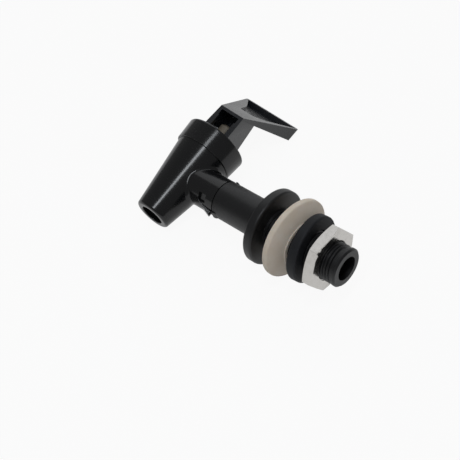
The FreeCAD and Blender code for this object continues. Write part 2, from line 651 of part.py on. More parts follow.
def make_lever():
    """Model the hollow lever: an open leg over the stem and a flared, dished paddle."""
    body = make_body("lever_handle")
    rim_end = f"({FOLD} + paddle_rise)"
    end = "(paddle_run - leg_front)"
    sketch = make_sketch(body, "YZ_Plane", "Paddle_profile")
    draw_outline(sketch, [
        ("-leg_front", f"{FOLD} - paddle_fold_depth"), (end, f"{rim_end} - paddle_end_depth"),
        (end, rim_end), ("-leg_front", FOLD)])
    extrude(body, "Paddle", sketch, "paddle_width", centred=True)
    for name, side in (("LeftFlare", "-1"), ("RightFlare", "1")):
        sketch = make_sketch(body, "XY_Plane", f"{name}_profile", rim_end)
        flare = "(paddle_width - leg_width) / 2 / paddle_run"
        outside = f"{side} * (paddle_width / 2 + {flare} * {CUT_MARGIN})"
        draw_outline(sketch, [
            (f"{side} * (leg_width / 2 - {flare} * {CUT_MARGIN})", f"-leg_front - {CUT_MARGIN}"),
            (outside, f"-leg_front - {CUT_MARGIN}"), (outside, f"{end} + {CUT_MARGIN}")])
        extrude(body, name, sketch, f"paddle_rise + paddle_end_depth + {CUT_MARGIN}", cut=True)
    middle = f"{rim_end} - paddle_end_depth / 2"
    soften(body, "EndCorners", edge_through(
        ("-paddle_width / 2", end, middle), ("paddle_width / 2", end, middle)),
        "paddle_corner_radius")
    rear_level = f"({ROOF} + leg_rear_height)"
    top = f"({rear_level} + leg_embed)"
    top_width = (f"(leg_base_width + (leg_width - leg_base_width)"
                 f" * ({top} - {LEVER_BASE}) / ({FOLD} - {LEVER_BASE}))")
    rear_slope = f"((leg_rear_top - leg_rear) / ({rear_level} - {LEVER_BASE}))"
    rear_top = f"(leg_rear + {rear_slope} * ({top} - {LEVER_BASE}))"
    sections = []
    for name, width, rear, level in (
            ("LegBase", "leg_base_width", "leg_rear", LEVER_BASE),
            ("LegTop", top_width, rear_top, top)):
        sketch = make_sketch(body, "XY_Plane", name, level)
        draw_outline(sketch, [
            (f"-{width} / 2", "-leg_front"), (f"{width} / 2", "-leg_front"),
            (f"{width} / 2", rear, "leg_corner_radius"),
            (f"-{width} / 2", rear, "leg_corner_radius")])
        sections.append(sketch)
    loft(body, "Leg", sections)
    sketch = make_sketch(body, "YZ_Plane", "RimCut_profile")
    low = f"-leg_front - {CUT_MARGIN}"
    high = f"leg_rear + {CUT_MARGIN}"
    lid = f"{top} + {CUT_MARGIN} + leg_front + leg_rear"
    draw_outline(sketch, [
        (low, f"{FOLD} - {RIM_SLOPE} * {CUT_MARGIN}"),
        (high, f"{FOLD} + {RIM_SLOPE} * (leg_front + leg_rear + {CUT_MARGIN})"),
        (high, lid), (low, lid)])
    extrude(body, "RimCut", sketch, f"leg_base_width + {CUT_MARGIN}", cut=True, centred=True)
    sections = []
    depth_slope = "((paddle_end_depth - paddle_fold_depth) / paddle_run)"
    half_slope = "((paddle_width - leg_width) / 2 / paddle_run)"
    tray_end = "(paddle_run - tray_wall)"
    for name, run, width, depth in (
            ("TrayStart", "tray_start", "tray_start_width / 2", "tray_start_depth"),
            ("TrayBend", "tray_bend", f"leg_width / 2 + {half_slope} * tray_bend - tray_wall",
             f"paddle_fold_depth + {depth_slope} * tray_bend - tray_floor"),
            ("TrayEnd", tray_end, f"leg_width / 2 + {half_slope} * {tray_end} - tray_wall",
             f"paddle_fold_depth + {depth_slope} * {tray_end} - tray_floor")):
        sketch = make_sketch(body, "XZ_Plane", name, f"leg_front - {run}")
        rim = f"({FOLD} + {RIM_SLOPE} * {run})"
        draw_outline(sketch, rectangle(
            f"-({width})", width, f"{rim} - ({depth})", f"{rim} + {CUT_MARGIN}"))
        sections.append(sketch)
    loft(body, "Tray", sections, cut=True, ruled=False)
    cheek_top = f"({ROOF} + cheek_height)"
    inner_rear = f"(leg_rear - leg_wall + {rear_slope} * (cheek_height - rest_gap))"
    ceiling_slope = f"((ceiling_rear - ceiling_front) / (leg_front + {inner_rear}))"
    open_side = f"(leg_front + {CUT_MARGIN})"
    sketch = make_sketch(body, "YZ_Plane", "UpperHollow_profile")
    draw_outline(sketch, [
        (f"-{open_side}", cheek_top), (inner_rear, cheek_top),
        (f"{inner_rear} + {rear_slope} * (ceiling_rear - cheek_height)", f"{ROOF} + ceiling_rear"),
        (f"-{open_side}", f"{ROOF} + ceiling_front - {ceiling_slope} * {CUT_MARGIN}")])
    extrude(body, "UpperHollow", sketch, "leg_width - leg_wall * 2", cut=True, centred=True)
    sketch = make_sketch(body, "YZ_Plane", "LowerHollow_profile")
    draw_outline(sketch, [
        (f"-{open_side}", f"{LEVER_BASE} - {CUT_MARGIN}"),
        (f"leg_rear - leg_wall - {rear_slope} * {CUT_MARGIN}", f"{LEVER_BASE} - {CUT_MARGIN}"),
        (inner_rear, cheek_top), (f"-{open_side}", cheek_top)])
    extrude(body, "LowerHollow", sketch, "leg_base_width - cheek_wall * 2", cut=True, centred=True)
    sketch = make_sketch(body, "YZ_Plane", "PinHole_profile", BLIND_END)
    draw_circle(sketch, "pin_diameter + fit_clearance * 2", "0", PIN_LEVEL)
    extrude(body, "PinHole", sketch, f"{BLIND_END} + leg_base_width", cut=True)
    place(body, VALVE_X, angle="lever_swivel")
    return body


def make_pin():
    """Model the pivot pin across the lever's leg."""
    body = make_body("lever_pin")
    start = "(leg_base_width / 2 - pin_recess)"
    sketch = make_sketch(body, "YZ_Plane", "Pin_profile", f"-{start}")
    draw_circle(sketch, "pin_diameter", "0", PIN_LEVEL)
    extrude(body, "Pin", sketch, f"{start} + {BLIND_END} - face_gap")
    soften(body, "Ends", round_edge("pin_diameter / 2"), "pin_chamfer", chamfer=True)
    place(body, VALVE_X, angle="lever_swivel")
    return body


SUB_PARTS = [
    make_faucet_body(), make_bonnet(), make_seat_cup(), make_stem(), make_slip_washer(),
    make_spring(), make_shank(), make_shank_ring(), make_wall_gasket(),
    make_backing_washer(), make_nut(), make_lever(), make_pin(),
]

doc.recompute()
for item in doc.Objects:
    if "Invalid" in item.State or "Error" in item.State:
        raise RuntimeError(f"{item.Label} failed: {item.State}")
for part in SUB_PARTS:
    if part.Shape.isNull() or not part.Shape.isValid() or len(part.Shape.Solids) != 1:
        raise RuntimeError(f"{part.Label} isn't one valid solid")

os.makedirs("parts", exist_ok=True)
for part in SUB_PARTS:
    part.Shape.exportStep(f"parts/{part.Label}.step")
    print(part.Label, round(part.Shape.Volume, 1))
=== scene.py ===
import json
import logging
import math
from contextlib import contextmanager
from dataclasses import dataclass
from enum import Enum
from typing import Callable, Iterator, Sequence, Union

import bmesh
import bpy
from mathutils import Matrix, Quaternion, Vector

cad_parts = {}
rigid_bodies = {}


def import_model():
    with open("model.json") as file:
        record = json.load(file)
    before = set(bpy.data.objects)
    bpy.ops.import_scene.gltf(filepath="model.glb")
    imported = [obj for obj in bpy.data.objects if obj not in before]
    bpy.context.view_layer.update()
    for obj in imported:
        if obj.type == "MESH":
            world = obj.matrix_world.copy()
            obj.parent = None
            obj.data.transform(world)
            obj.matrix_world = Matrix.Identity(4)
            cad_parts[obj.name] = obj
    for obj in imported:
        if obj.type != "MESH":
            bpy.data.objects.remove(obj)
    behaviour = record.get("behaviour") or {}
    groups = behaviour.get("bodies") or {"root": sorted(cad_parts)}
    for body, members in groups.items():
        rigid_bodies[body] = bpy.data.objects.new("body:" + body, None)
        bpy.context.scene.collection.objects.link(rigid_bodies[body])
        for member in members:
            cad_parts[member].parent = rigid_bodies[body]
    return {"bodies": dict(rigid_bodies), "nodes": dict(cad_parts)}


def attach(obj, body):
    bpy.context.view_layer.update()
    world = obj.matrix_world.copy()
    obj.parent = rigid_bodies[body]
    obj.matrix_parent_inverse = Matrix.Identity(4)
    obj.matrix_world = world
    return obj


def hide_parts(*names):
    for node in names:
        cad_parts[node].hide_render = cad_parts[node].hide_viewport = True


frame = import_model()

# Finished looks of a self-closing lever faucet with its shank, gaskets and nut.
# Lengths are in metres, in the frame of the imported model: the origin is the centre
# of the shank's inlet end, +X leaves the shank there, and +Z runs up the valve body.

log = logging.getLogger("faucet")

Pair = tuple[float, float]
Triple = tuple[float, float, float]

MM = 0.001
MERGE = 0.000001  # vertices nearer than this are one
FLAT_TURN = math.radians(0.4)  # packed faces that turn less than this are one face
FACE_WEIGHT = 80  # how much more the large faces count in the shading
NOISE_MEAN = 0.5
SPECK_CORE = 0.6  # share of a speck's radius at full strength
MIX_SHARE, MIX_FIRST, MIX_SECOND, MIX_RESULT = 0, 6, 7, 2  # colour sockets of a Mix node
WHITE_LIGHT = (1.0, 1.0, 1.0, 1.0)


class Slot(Enum):
    """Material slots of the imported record, one for each finish."""

    GLOSS = "black_gloss_plastic"
    LEVER = "lever_plastic"
    SATIN = "black_satin_plastic"
    STEM = "stem_plastic"
    WHITE = "white_plastic"
    CLEAR = "clear_silicone"
    RUBBER = "black_rubber"
    BEIGE = "beige_silicone"
    STEEL = "steel"
    NICKEL = "nickel_plate"


class Body(Enum):
    """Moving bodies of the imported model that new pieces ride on."""

    VALVE = "valve_and_shank"
    LEVER = "lever"
    NUT = "nut"


# --- shader maths ---


class Signal:
    """An output socket of a material's nodes that takes part in plain maths."""

    def __init__(self, recipe: "Recipe", socket: bpy.types.NodeSocket) -> None:
        """Keep an output socket and the recipe that its node belongs to."""
        self.recipe = recipe
        self.socket = socket

    def maths(self, operation: str, *values: "Value") -> "Signal":
        """Return the result of one Math node, by Blender's name for the sum."""
        return self.recipe.node("ShaderNodeMath", {"operation": operation}, dict(enumerate(values)))

    def __add__(self, other: "Value") -> "Signal":
        """Return self + other."""
        return self.maths("ADD", self, other)

    __radd__ = __add__

    def __sub__(self, other: "Value") -> "Signal":
        """Return self - other."""
        return self.maths("SUBTRACT", self, other)

    def __rsub__(self, other: "Value") -> "Signal":
        """Return other - self."""
        return self.maths("SUBTRACT", other, self)

    def __mul__(self, other: "Value") -> "Signal":
        """Return self * other."""
        return self.maths("MULTIPLY", self, other)

    __rmul__ = __mul__

    def either(self, other: "Signal") -> "Signal":
        """Return the larger of the two."""
        return self.maths("MAXIMUM", self, other)

    def swing(self, reach: float) -> "Signal":
        """Return a noise moved to swing about 0, and scaled."""
        return (self - NOISE_MEAN) * reach

    def step(self, low: float, high: float) -> "Signal":
        """Rise smoothly from 0 at low to 1 at high.

        Args:
            low: Value at which the result starts to rise.
            high: Value at which the result is 1.

        Returns:
            The eased result.
        """
        settings = {"interpolation_type": "SMOOTHSTEP"}
        inputs = {"Value": self, "From Min": low, "From Max": high}
        return self.recipe.node("ShaderNodeMapRange", settings, inputs)


Value = Union[Signal, float, int, tuple]


class Recipe:
    """The nodes of one material, or of the world."""

    def __init__(self, owner: Union[bpy.types.Material, bpy.types.World]) -> None:
        """Start with no nodes.

        Args:
            owner: New material or world that the nodes are made in.
        """
        self.owner = owner
        owner.use_nodes = True
        self.tree = owner.node_tree
        self.tree.nodes.clear()

    @classmethod
    def of_finish(cls, slot: Slot) -> "Recipe":
        """Start the material of a slot's finish."""
        return cls(bpy.data.materials.new(slot.value + "_finish"))

    def node(
        self, kind: str, settings: dict | None = None, inputs: dict | None = None,
        outlet: int | str = 0,
    ) -> Signal:
        """Add any node: its settings first, then the values or links of its sockets.

        Args:
            kind: The node's type.
            settings: Name of a property to its setting.
            inputs: Socket number or name to a value or a Signal.
            outlet: Output that the Signal stands for.

        Returns:
            A Signal on that output.
        """
        made = self.tree.nodes.new(kind)
        for key, setting in (settings or {}).items():
            setattr(made, key, setting)
        for key, value in (inputs or {}).items():
            if isinstance(value, Signal):
                self.tree.links.new(value.socket, made.inputs[key])
            else:
                made.inputs[key].default_value = value
        return Signal(self, made.outputs[outlet] if len(made.outputs) else None)

    def place(self, turn: tuple = (0.0, 0.0, 0.0), scale: tuple = (1.0, 1.0, 1.0)) -> Signal:
        """Give object coordinates, turned and stretched.

        Args:
            turn: Turn of the pattern in radians.
            scale: Stretch along each axis.

        Returns:
            The coordinates as a vector.
        """
        raw = self.node("ShaderNodeTexCoord", outlet="Object")
        inputs = {"Vector": raw, "Rotation": turn, "Scale": scale}
        return self.node("ShaderNodeMapping", {"vector_type": "POINT"}, inputs)

    def noise(
        self, where: Signal, size: float, detail: float = 2.0, rough: float = 0.5,
        warp: float = 0.0,
    ) -> Signal:
        """Add a noise whose grains are about as wide as size.

        Args:
            where: Coordinates in metres.
            size: Width of a grain in metres.
            detail: Number of finer layers.
            rough: Share of the finer layers.
            warp: Distortion of the pattern.

        Returns:
            The noise, from 0 to 1.
        """
        inputs = {"Vector": where, "Scale": 1.0 / size, "Detail": detail, "Roughness": rough,
                  "Distortion": warp}
        return self.node("ShaderNodeTexNoise", {"noise_dimensions": "3D"}, inputs)

    def specks(self, where: Signal, spacing: float, radius: float) -> Signal:
        """Add scattered round specks.

        Args:
            where: Coordinates in metres.
            spacing: Mean distance between specks in metres.
            radius: Radius of a speck in metres.

        Returns:
            1 in a speck and 0 outside.
        """
        inputs = {"Vector": where, "Scale": 1.0 / spacing, "Randomness": 1.0}
        far = self.node("ShaderNodeTexVoronoi", {"feature": "F1"}, inputs, "Distance")
        return 1.0 - far.step(radius / spacing * SPECK_CORE, radius / spacing)

    def mix(self, share: Value, first: Value, second: Value) -> Signal:
        """Mix two colours.

        Args:
            share: 0 for the first colour and 1 for the second.
            first: Triple as a link or four numbers.
            second: Triple as a link or four numbers.

        Returns:
            The mixed colour.
        """
        settings = {"data_type": "RGBA", "blend_type": "MIX"}
        inputs = {MIX_SHARE: share, MIX_FIRST: first, MIX_SECOND: second}
        return self.node("ShaderNodeMix", settings, inputs, MIX_RESULT)

    def blend(self, share: Signal, first: Signal, second: Signal) -> Signal:
        """Return two shaders mixed, where 0 gives the first and 1 the second."""
        return self.node("ShaderNodeMixShader", None, dict(enumerate((share, first, second))))

    def bump(self, height: Signal, depth: float = 1.0) -> Signal:
        """Return the normal of a height, one unit of which is depth metres."""
        inputs = {"Strength": 1.0, "Distance": depth, "Height": height}
        return self.node("ShaderNodeBump", None, inputs)

    def surface(
        self, skin: Signal, rough: Signal, normal: Signal, constants: dict,
    ) -> bpy.types.Material:
        """Close the recipe with a Principled surface.

        Args:
            skin: Its colour.
            rough: Its roughness.
            normal: Its normal.
            constants: Socket name to a number or colour that is the same all over.

        Returns:
            The finished material.
        """
        links = {"Base Color": skin, "Roughness": rough, "Normal": normal}
        shader = self.node("ShaderNodeBsdfPrincipled", None, {**constants, **links})
        self.node("ShaderNodeOutputMaterial", None, {"Surface": shader})
        return self.owner


def tone(colour: Triple, factor: float = 1.0) -> tuple[float, float, float, float]:
    """Return a colour with its alpha, made lighter or darker.

    Args:
        colour: Red, green and blue.
        factor: 1 leaves it as it is.

    Returns:
        Four numbers for a colour socket.
    """
    red, green, blue = (min(1.0, part * factor) for part in colour)
    return (red, green, blue, 1.0)


# --- finishes ---


@dataclass(frozen=True)
class ScratchSet:
    """Fine handling scratches that run one way."""

    tilt: Pair
    spin: float
    stretch: Triple
    width: float
    start: float
    full: float


SCRATCH_SETS = (
    ScratchSet(
        tilt=(0.3, 0.6), spin=0.0, stretch=(0.06, 1.0, 1.0), width=0.00022, start=0.70, full=0.78),
    ScratchSet(
        tilt=(0.9, -0.4), spin=0.7, stretch=(1.0, 0.05, 1.0), width=0.00028, start=0.72, full=0.80),
)


@dataclass(frozen=True)
class MouldedPlastic:
    """Injection moulded plastic: flow marks, a fine skin, dust and light scratches."""

    slot: Slot
    colour: Triple
    roughness: float
    roughness_spread: float
    skin_size: float
    skin_depth: float
    flow_depth: float = 0.000004
    flow_size: float = 0.004
    flow_stretch: float = 0.45
    cloud_size: float = 0.009
    shade: float = 0.08
    dust: float = 0.0
    dust_colour: Triple = (0.25, 0.25, 0.24)
    dust_spacing: float = 0.0011
    dust_radius: float = 0.00006
    dust_patch: float = 0.006
    dust_dulls: float = 0.3
    scratch: float = 0.0
    scratch_turn: float = 0.0
    scratch_tone: float = 0.6
    scratch_dulls: float = 0.16

    def make(self) -> bpy.types.Material:
        """Build the material.

        Returns:
            The finished material.
        """
        recipe = Recipe.of_finish(self.slot)
        here = recipe.place()
        clouds = recipe.noise(here, self.cloud_size, detail=3.0, rough=0.55)
        skin = recipe.noise(here, self.skin_size, detail=3.0, rough=0.6)
        along = recipe.place(scale=(1.0, 1.0, self.flow_stretch))
        flow = recipe.noise(along, self.flow_size, detail=1.0, rough=0.4, warp=0.3)
        darker, lighter = tone(self.colour, 1.0 - self.shade), tone(self.colour, 1.0 + self.shade)
        grey = recipe.mix(clouds, darker, lighter)
        spread = self.roughness_spread
        rough = self.roughness + clouds.swing(spread) + skin.swing(spread)
        if self.scratch > 0.0:
            lines = self.scratches(recipe)
            rough = rough + lines * self.scratch_dulls
            grey = recipe.mix(lines * self.scratch, grey, tone(self.dust_colour, self.scratch_tone))
        if self.dust > 0.0:
            patches = recipe.noise(here, self.dust_patch, detail=1.0).step(low=0.48, high=0.66)
            fine = recipe.specks(here, self.dust_spacing, self.dust_radius) * patches
            grey = recipe.mix(fine * self.dust, grey, tone(self.dust_colour))
            rough = rough + fine * self.dust_dulls
        normal = recipe.bump(skin * self.skin_depth + flow * self.flow_depth)
        return recipe.surface(grey, rough, normal, {"IOR": 1.5, "Specular IOR Level": 0.5})

    def scratches(self, recipe: Recipe) -> Signal:
        """Return the handling scratches of both sets.

        Args:
            recipe: Material that they are added to.

        Returns:
            1 in a scratch and 0 outside.
        """
        first, second = (
            recipe.noise(
                recipe.place(turn=(*lay.tilt, self.scratch_turn + lay.spin), scale=lay.stretch),
                lay.width, detail=0.0,
            ).step(lay.start, lay.full)
            for lay in SCRATCH_SETS)
        return first.either(second)


@dataclass(frozen=True)
class SoftRubber:
    """Moulded rubber or silicone: dull, with a grain, a bloom and specks of lint."""

    slot: Slot
    colour: Triple
    bloom: Triple
    roughness: float
    grain_size: float
    grain_depth: float
    grain_swing: float = 0.16
    patch_size: float = 0.006
    patch_swing: float = 0.1
    bloom_share: float = 0.5
    sheen: float = 0.0
    soft_light: float = 0.0
    specks: float = 0.0
    speck_spacing: float = 0.0014
    speck_radius: float = 0.00007
    speck_tone: float = 1.6

    def make(self) -> bpy.types.Material:
        """Build the material.

        Returns:
            The finished material.
        """
        recipe = Recipe.of_finish(self.slot)
        here = recipe.place()
        patches = recipe.noise(here, self.patch_size, detail=4.0, rough=0.6, warp=0.4)
        grain = recipe.noise(here, self.grain_size, detail=4.0, rough=0.65)
        bloomed = patches.step(low=0.35, high=0.75) * self.bloom_share
        skin = recipe.mix(bloomed, tone(self.colour), tone(self.bloom))
        if self.specks > 0.0:
            lint = recipe.specks(here, self.speck_spacing, self.speck_radius) * self.specks
            skin = recipe.mix(lint, skin, tone(self.bloom, self.speck_tone))
        rough = self.roughness + grain.swing(self.grain_swing) + patches.swing(self.patch_swing)
        normal = recipe.bump(grain * self.grain_depth + patches * self.grain_depth)
        constants = {
            "IOR": 1.45,
            "Specular IOR Level": 0.4,
            "Sheen Weight": self.sheen,
            "Sheen Roughness": 0.6,
            "Subsurface Weight": self.soft_light,
            "Subsurface Radius": (1.0, 0.7, 0.5),
            "Subsurface Scale": 0.0012,
        }
        return recipe.surface(skin, rough, normal, constants)


@dataclass(frozen=True)
class ClearSilicone:
    """Milky moulded silicone that lets some light through."""

    slot: Slot
    colour: Triple
    roughness: float
    clear: float
    cloud_size: float = 0.004
    cloud_tones: Pair = (0.93, 1.05)
    cloud_swing: float = 0.12
    skin_size: float = 0.0006
    skin_depth: float = 0.000004

    def make(self) -> bpy.types.Material:
        """Build the material.

        Returns:
            The finished material.
        """
        recipe = Recipe.of_finish(self.slot)
        here = recipe.place()
        cloud = recipe.noise(here, self.cloud_size, detail=3.0)
        darker, lighter = (tone(self.colour, factor) for factor in self.cloud_tones)
        skin = recipe.mix(cloud, darker, lighter)
        rough = self.roughness + cloud.swing(self.cloud_swing)
        normal = recipe.bump(recipe.noise(here, self.skin_size), self.skin_depth)
        constants = {"IOR": 1.41, "Transmission Weight": self.clear}
        return recipe.surface(skin, rough, normal, constants)


class Lay(Enum):
    """How a metal's fine lines run."""

    RINGS_ABOUT_X = "rings about the shank's axis"
    ALONG = "drawn along the piece"


@dataclass(frozen=True)
class WorkedMetal:
    """Bare or plated metal with the fine lines of its making and small marks."""

    slot: Slot
    colour: Triple
    dull_colour: Triple
    roughness: float
    roughness_spread: float
    lay: Lay
    line_size: float
    line_depth: float
    line_stretch: float = 0.05
    drift_size: float = 0.004
    drift: float = 0.6
    stain: float = 0.2
    stain_size: float = 0.0035
    pit: float = 0.5
    pit_tone: float = 0.35
    pit_spacing: float = 0.0007
    pit_radius: float = 0.00006
    pit_patch: float = 0.003

    def make(self) -> bpy.types.Material:
        """Build the material.

        Returns:
            The finished material.
        """
        recipe = Recipe.of_finish(self.slot)
        here = recipe.place()
        cloud = recipe.noise(here, self.stain_size, detail=4.0, rough=0.6, warp=0.5)
        lines = self.lines(recipe)
        patches = recipe.noise(here, self.pit_patch, detail=1.0).step(low=0.5, high=0.7)
        pits = recipe.specks(here, self.pit_spacing, self.pit_radius) * patches
        stained = cloud.step(low=0.4, high=0.75) * self.stain
        skin = recipe.mix(stained, tone(self.colour), tone(self.dull_colour))
        skin = recipe.mix(pits * self.pit, skin, tone(self.dull_colour, self.pit_tone))
        spread = self.roughness_spread
        rough = self.roughness + lines.swing(spread) + cloud.swing(spread)
        normal = recipe.bump(lines * self.line_depth - pits * self.line_depth)
        return recipe.surface(skin, rough, normal, {"Metallic": 1.0})

    def lines(self, recipe: Recipe) -> Signal:
        """Return the lines that the tool or die left.

        Args:
            recipe: Material that they are added to.

        Returns:
            The lines, from 0 to 1.
        """
        if self.lay is Lay.ALONG:
            drawn = recipe.place(scale=(1.0, self.line_stretch, 1.0))
            return recipe.noise(drawn, self.line_size)
        here = recipe.place()
        across = {0: here, 1: (0.0, 1.0, 1.0)}
        flat = recipe.node("ShaderNodeVectorMath", {"operation": "MULTIPLY"}, across)
        out = recipe.node("ShaderNodeVectorMath", {"operation": "LENGTH"}, {0: flat}, "Value")
        drift = recipe.noise(here, self.drift_size) * self.drift
        rings = recipe.node("ShaderNodeCombineXYZ", None, {"X": out, "Y": drift * MM})
        return recipe.noise(rings, self.line_size, detail=3.0, rough=0.6)


FINISHES = (
    MouldedPlastic(
        Slot.GLOSS, colour=(0.0060, 0.0062, 0.0070), roughness=0.17, roughness_spread=0.05,
        skin_size=0.0007, skin_depth=0.0000004, flow_depth=0.000006, dust=0.5, scratch=0.02,
    ),
    MouldedPlastic(
        Slot.LEVER, colour=(0.0090, 0.0104, 0.0138), roughness=0.24, roughness_spread=0.08,
        skin_size=0.0005, skin_depth=0.0000018, flow_depth=0.00002, dust=0.6, scratch=0.05,
        scratch_turn=0.2,
    ),
    MouldedPlastic(
        Slot.SATIN, colour=(0.0060, 0.0062, 0.0070), roughness=0.42, roughness_spread=0.14,
        skin_size=0.0003, skin_depth=0.0000045, flow_depth=0.00001, dust=0.7,
    ),
    MouldedPlastic(
        Slot.STEM, colour=(0.20, 0.17, 0.13), roughness=0.42, roughness_spread=0.1,
        skin_size=0.0005, skin_depth=0.000002, shade=0.1,
    ),
    MouldedPlastic(
        Slot.WHITE, colour=(0.75, 0.75, 0.73), roughness=0.45, roughness_spread=0.1,
        skin_size=0.0005, skin_depth=0.000002, shade=0.03,
    ),
    SoftRubber(
        Slot.RUBBER, colour=(0.0085, 0.0095, 0.0120), bloom=(0.020, 0.022, 0.027),
        roughness=0.62, grain_size=0.00035, grain_depth=0.000008, specks=0.5,
    ),
    SoftRubber(
        Slot.BEIGE, colour=(0.82, 0.71, 0.585), bloom=(0.89, 0.80, 0.70), roughness=0.6,
        grain_size=0.0005, grain_depth=0.000006, bloom_share=0.6, sheen=0.05, soft_light=0.15,
    ),
    ClearSilicone(Slot.CLEAR, colour=(0.72, 0.72, 0.70), roughness=0.4, clear=0.35),
    WorkedMetal(
        Slot.STEEL, colour=(0.62, 0.62, 0.63), dull_colour=(0.42, 0.42, 0.43), roughness=0.25,
        roughness_spread=0.14, lay=Lay.ALONG, line_size=0.00012, line_depth=0.000002,
    ),
    WorkedMetal(
        Slot.NICKEL, colour=(0.66, 0.64, 0.61), dull_colour=(0.45, 0.43, 0.40), roughness=0.20,
        roughness_spread=0.12, lay=Lay.RINGS_ABOUT_X, line_size=0.00013,
        line_depth=0.0000018, stain=0.3,
    ),
)


class Wardrobe:
    """All finishes, made once, and handed to nodes and pieces by slot."""

    def __init__(self) -> None:
        """Make every finish."""
        self.materials = {finish.slot: finish.make() for finish in FINISHES}

    def dress(self, piece: bpy.types.Object, slot: Slot) -> None:
        """Give a piece or a node the finish of a slot.

        Args:
            piece: Object to dress.
            slot: Slot whose finish it takes.
        """
        if len(piece.material_slots) == 0:
            piece.data.materials.append(self.materials[slot])
        for entry in piece.material_slots:
            entry.material = self.materials[slot]


# --- bench work ---


class Bench:
    """Moves that shape a piece, each one of Blender's own operators."""

    @staticmethod
    def clear() -> None:
        """Deselect every object."""
        bpy.ops.object.select_all(action="DESELECT")

    @staticmethod
    def take(piece: bpy.types.Object) -> None:
        """Make one object the only one selected, and active.

        Args:
            piece: The object.
        """
        Bench.clear()
        piece.select_set(True)
        bpy.context.view_layer.objects.active = piece

    @staticmethod
    @contextmanager
    def editing(piece: bpy.types.Object) -> Iterator[None]:
        """Open a piece in edit mode with nothing selected, and close it again.

        Args:
            piece: Piece to work on.

        Yields:
            Nothing, while edit mode is on.
        """
        Bench.take(piece)
        bpy.ops.object.mode_set(mode="EDIT")
        bpy.ops.mesh.select_mode(type="VERT")
        bpy.ops.mesh.select_all(action="DESELECT")
        yield
        bpy.ops.object.mode_set(mode="OBJECT")

    @staticmethod
    def pick(piece: bpy.types.Object, wanted: Callable[[Vector], bool]) -> None:
        """Select the vertices whose place suits, and nothing else.

        Args:
            piece: Piece in edit mode.
            wanted: Test of a vertex's place.
        """
        mesh = bmesh.from_edit_mesh(piece.data)
        for vertex in mesh.verts:
            vertex.select_set(wanted(vertex.co))
        mesh.select_flush_mode()
        mesh.select_flush(True)
        bmesh.update_edit_mesh(piece.data)

    @staticmethod
    def pick_faces(piece: bpy.types.Object, wanted: Callable[[Vector, Vector], bool]) -> int:
        """Select the faces whose middle and normal suit, and nothing else.

        Args:
            piece: Piece in edit mode.
            wanted: Test of a face's middle and normal.

        Returns:
            How many faces are selected.
        """
        bpy.ops.mesh.select_mode(type="FACE")
        mesh = bmesh.from_edit_mesh(piece.data)
        for face in mesh.faces:
            face.select_set(wanted(face.calc_center_median(), face.normal))
        bmesh.update_edit_mesh(piece.data)
        return sum(1 for face in mesh.faces if face.select)

    @staticmethod
    def pick_all() -> None:
        """Select all of the piece that is in edit mode."""
        bpy.ops.mesh.select_all(action="SELECT")

    @staticmethod
    def merge_near(distance: float = MERGE) -> None:
        """Merge the vertices of the piece in edit mode that are nearer than a distance."""
        Bench.pick_all()
        bpy.ops.mesh.remove_doubles(threshold=distance)

    @staticmethod
    def face_outwards() -> None:
        """Turn all faces of the piece in edit mode outwards."""
        Bench.pick_all()
        bpy.ops.mesh.normals_make_consistent(inside=False)

    @staticmethod
    def merged_copy(node: str, name: str) -> bpy.types.Object:
        """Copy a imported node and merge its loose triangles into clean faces.

        Args:
            node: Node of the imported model.
            name: Name of the new piece.

        Returns:
            The new piece.
        """
        piece = bpy.data.objects.new(name, frame["nodes"][node].data.copy())
        piece.data.name = name
        bpy.context.scene.collection.objects.link(piece)
        Bench.take(piece)
        bpy.ops.mesh.customdata_custom_splitnormals_clear()
        with Bench.editing(piece):
            Bench.merge_near()
            bpy.ops.mesh.dissolve_limited(angle_limit=FLAT_TURN)
        return piece

    @staticmethod
    def turned(name: str, outline: Sequence[Pair], steps: int) -> bpy.types.Object:
        """Turn a closed outline about the Z axis.

        Args:
            name: Name of the piece.
            outline: Radius and height of the outline's points, in order.
            steps: Sides of the full circle.

        Returns:
            The turned piece.
        """
        Bench.clear()
        bpy.ops.mesh.primitive_plane_add(size=1.0)
        piece = bpy.context.object
        piece.name = name
        points = [*outline, outline[0]]
        with Bench.editing(piece):
            Bench.pick_all()
            bpy.ops.mesh.merge(type="CENTER")
            bpy.ops.transform.translate(value=(points[0][0], 0.0, points[0][1]))
            for (radius, height), (last_radius, last_height) in zip(points[1:], points):
                move = (radius - last_radius, 0.0, height - last_height)
                bpy.ops.mesh.extrude_vertices_move(TRANSFORM_OT_translate={"value": move})
            Bench.pick_all()
            bpy.ops.mesh.spin(
                steps=steps, angle=math.tau, center=(0.0, 0.0, 0.0), axis=(0.0, 0.0, 1.0))
            Bench.merge_near()
            Bench.face_outwards()
        return piece

    @staticmethod
    def modify(piece: bpy.types.Object, kind: str, **settings: object) -> None:
        """Add a modifier and apply it.

        Args:
            piece: Piece to change.
            kind: The modifier's type.
            settings: Its properties.
        """
        Bench.take(piece)
        modifier = piece.modifiers.new(kind.title(), kind)
        for key, setting in settings.items():
            setattr(modifier, key, setting)
        bpy.ops.object.modifier_apply(modifier=modifier.name)

    @staticmethod
    def soften(piece: bpy.types.Object, width: float, rounds: int, angle: float) -> None:
        """Round every edge sharper than an angle.

        Args:
            piece: Piece to change.
            width: Width of the rounding in metres.
            rounds: Segments of the rounding.
            angle: Smallest turn of an edge that is rounded, in degrees.
        """
        Bench.modify(
            piece, "BEVEL", width=width, segments=rounds, limit_method="ANGLE",
            angle_limit=math.radians(angle), miter_outer="MITER_ARC",
        )

    @staticmethod
    def shade(piece: bpy.types.Object, angle: float) -> None:
        """Shade smooth over edges flatter than an angle in degrees."""
        Bench.take(piece)
        bpy.ops.object.shade_smooth_by_angle(angle=math.radians(angle))

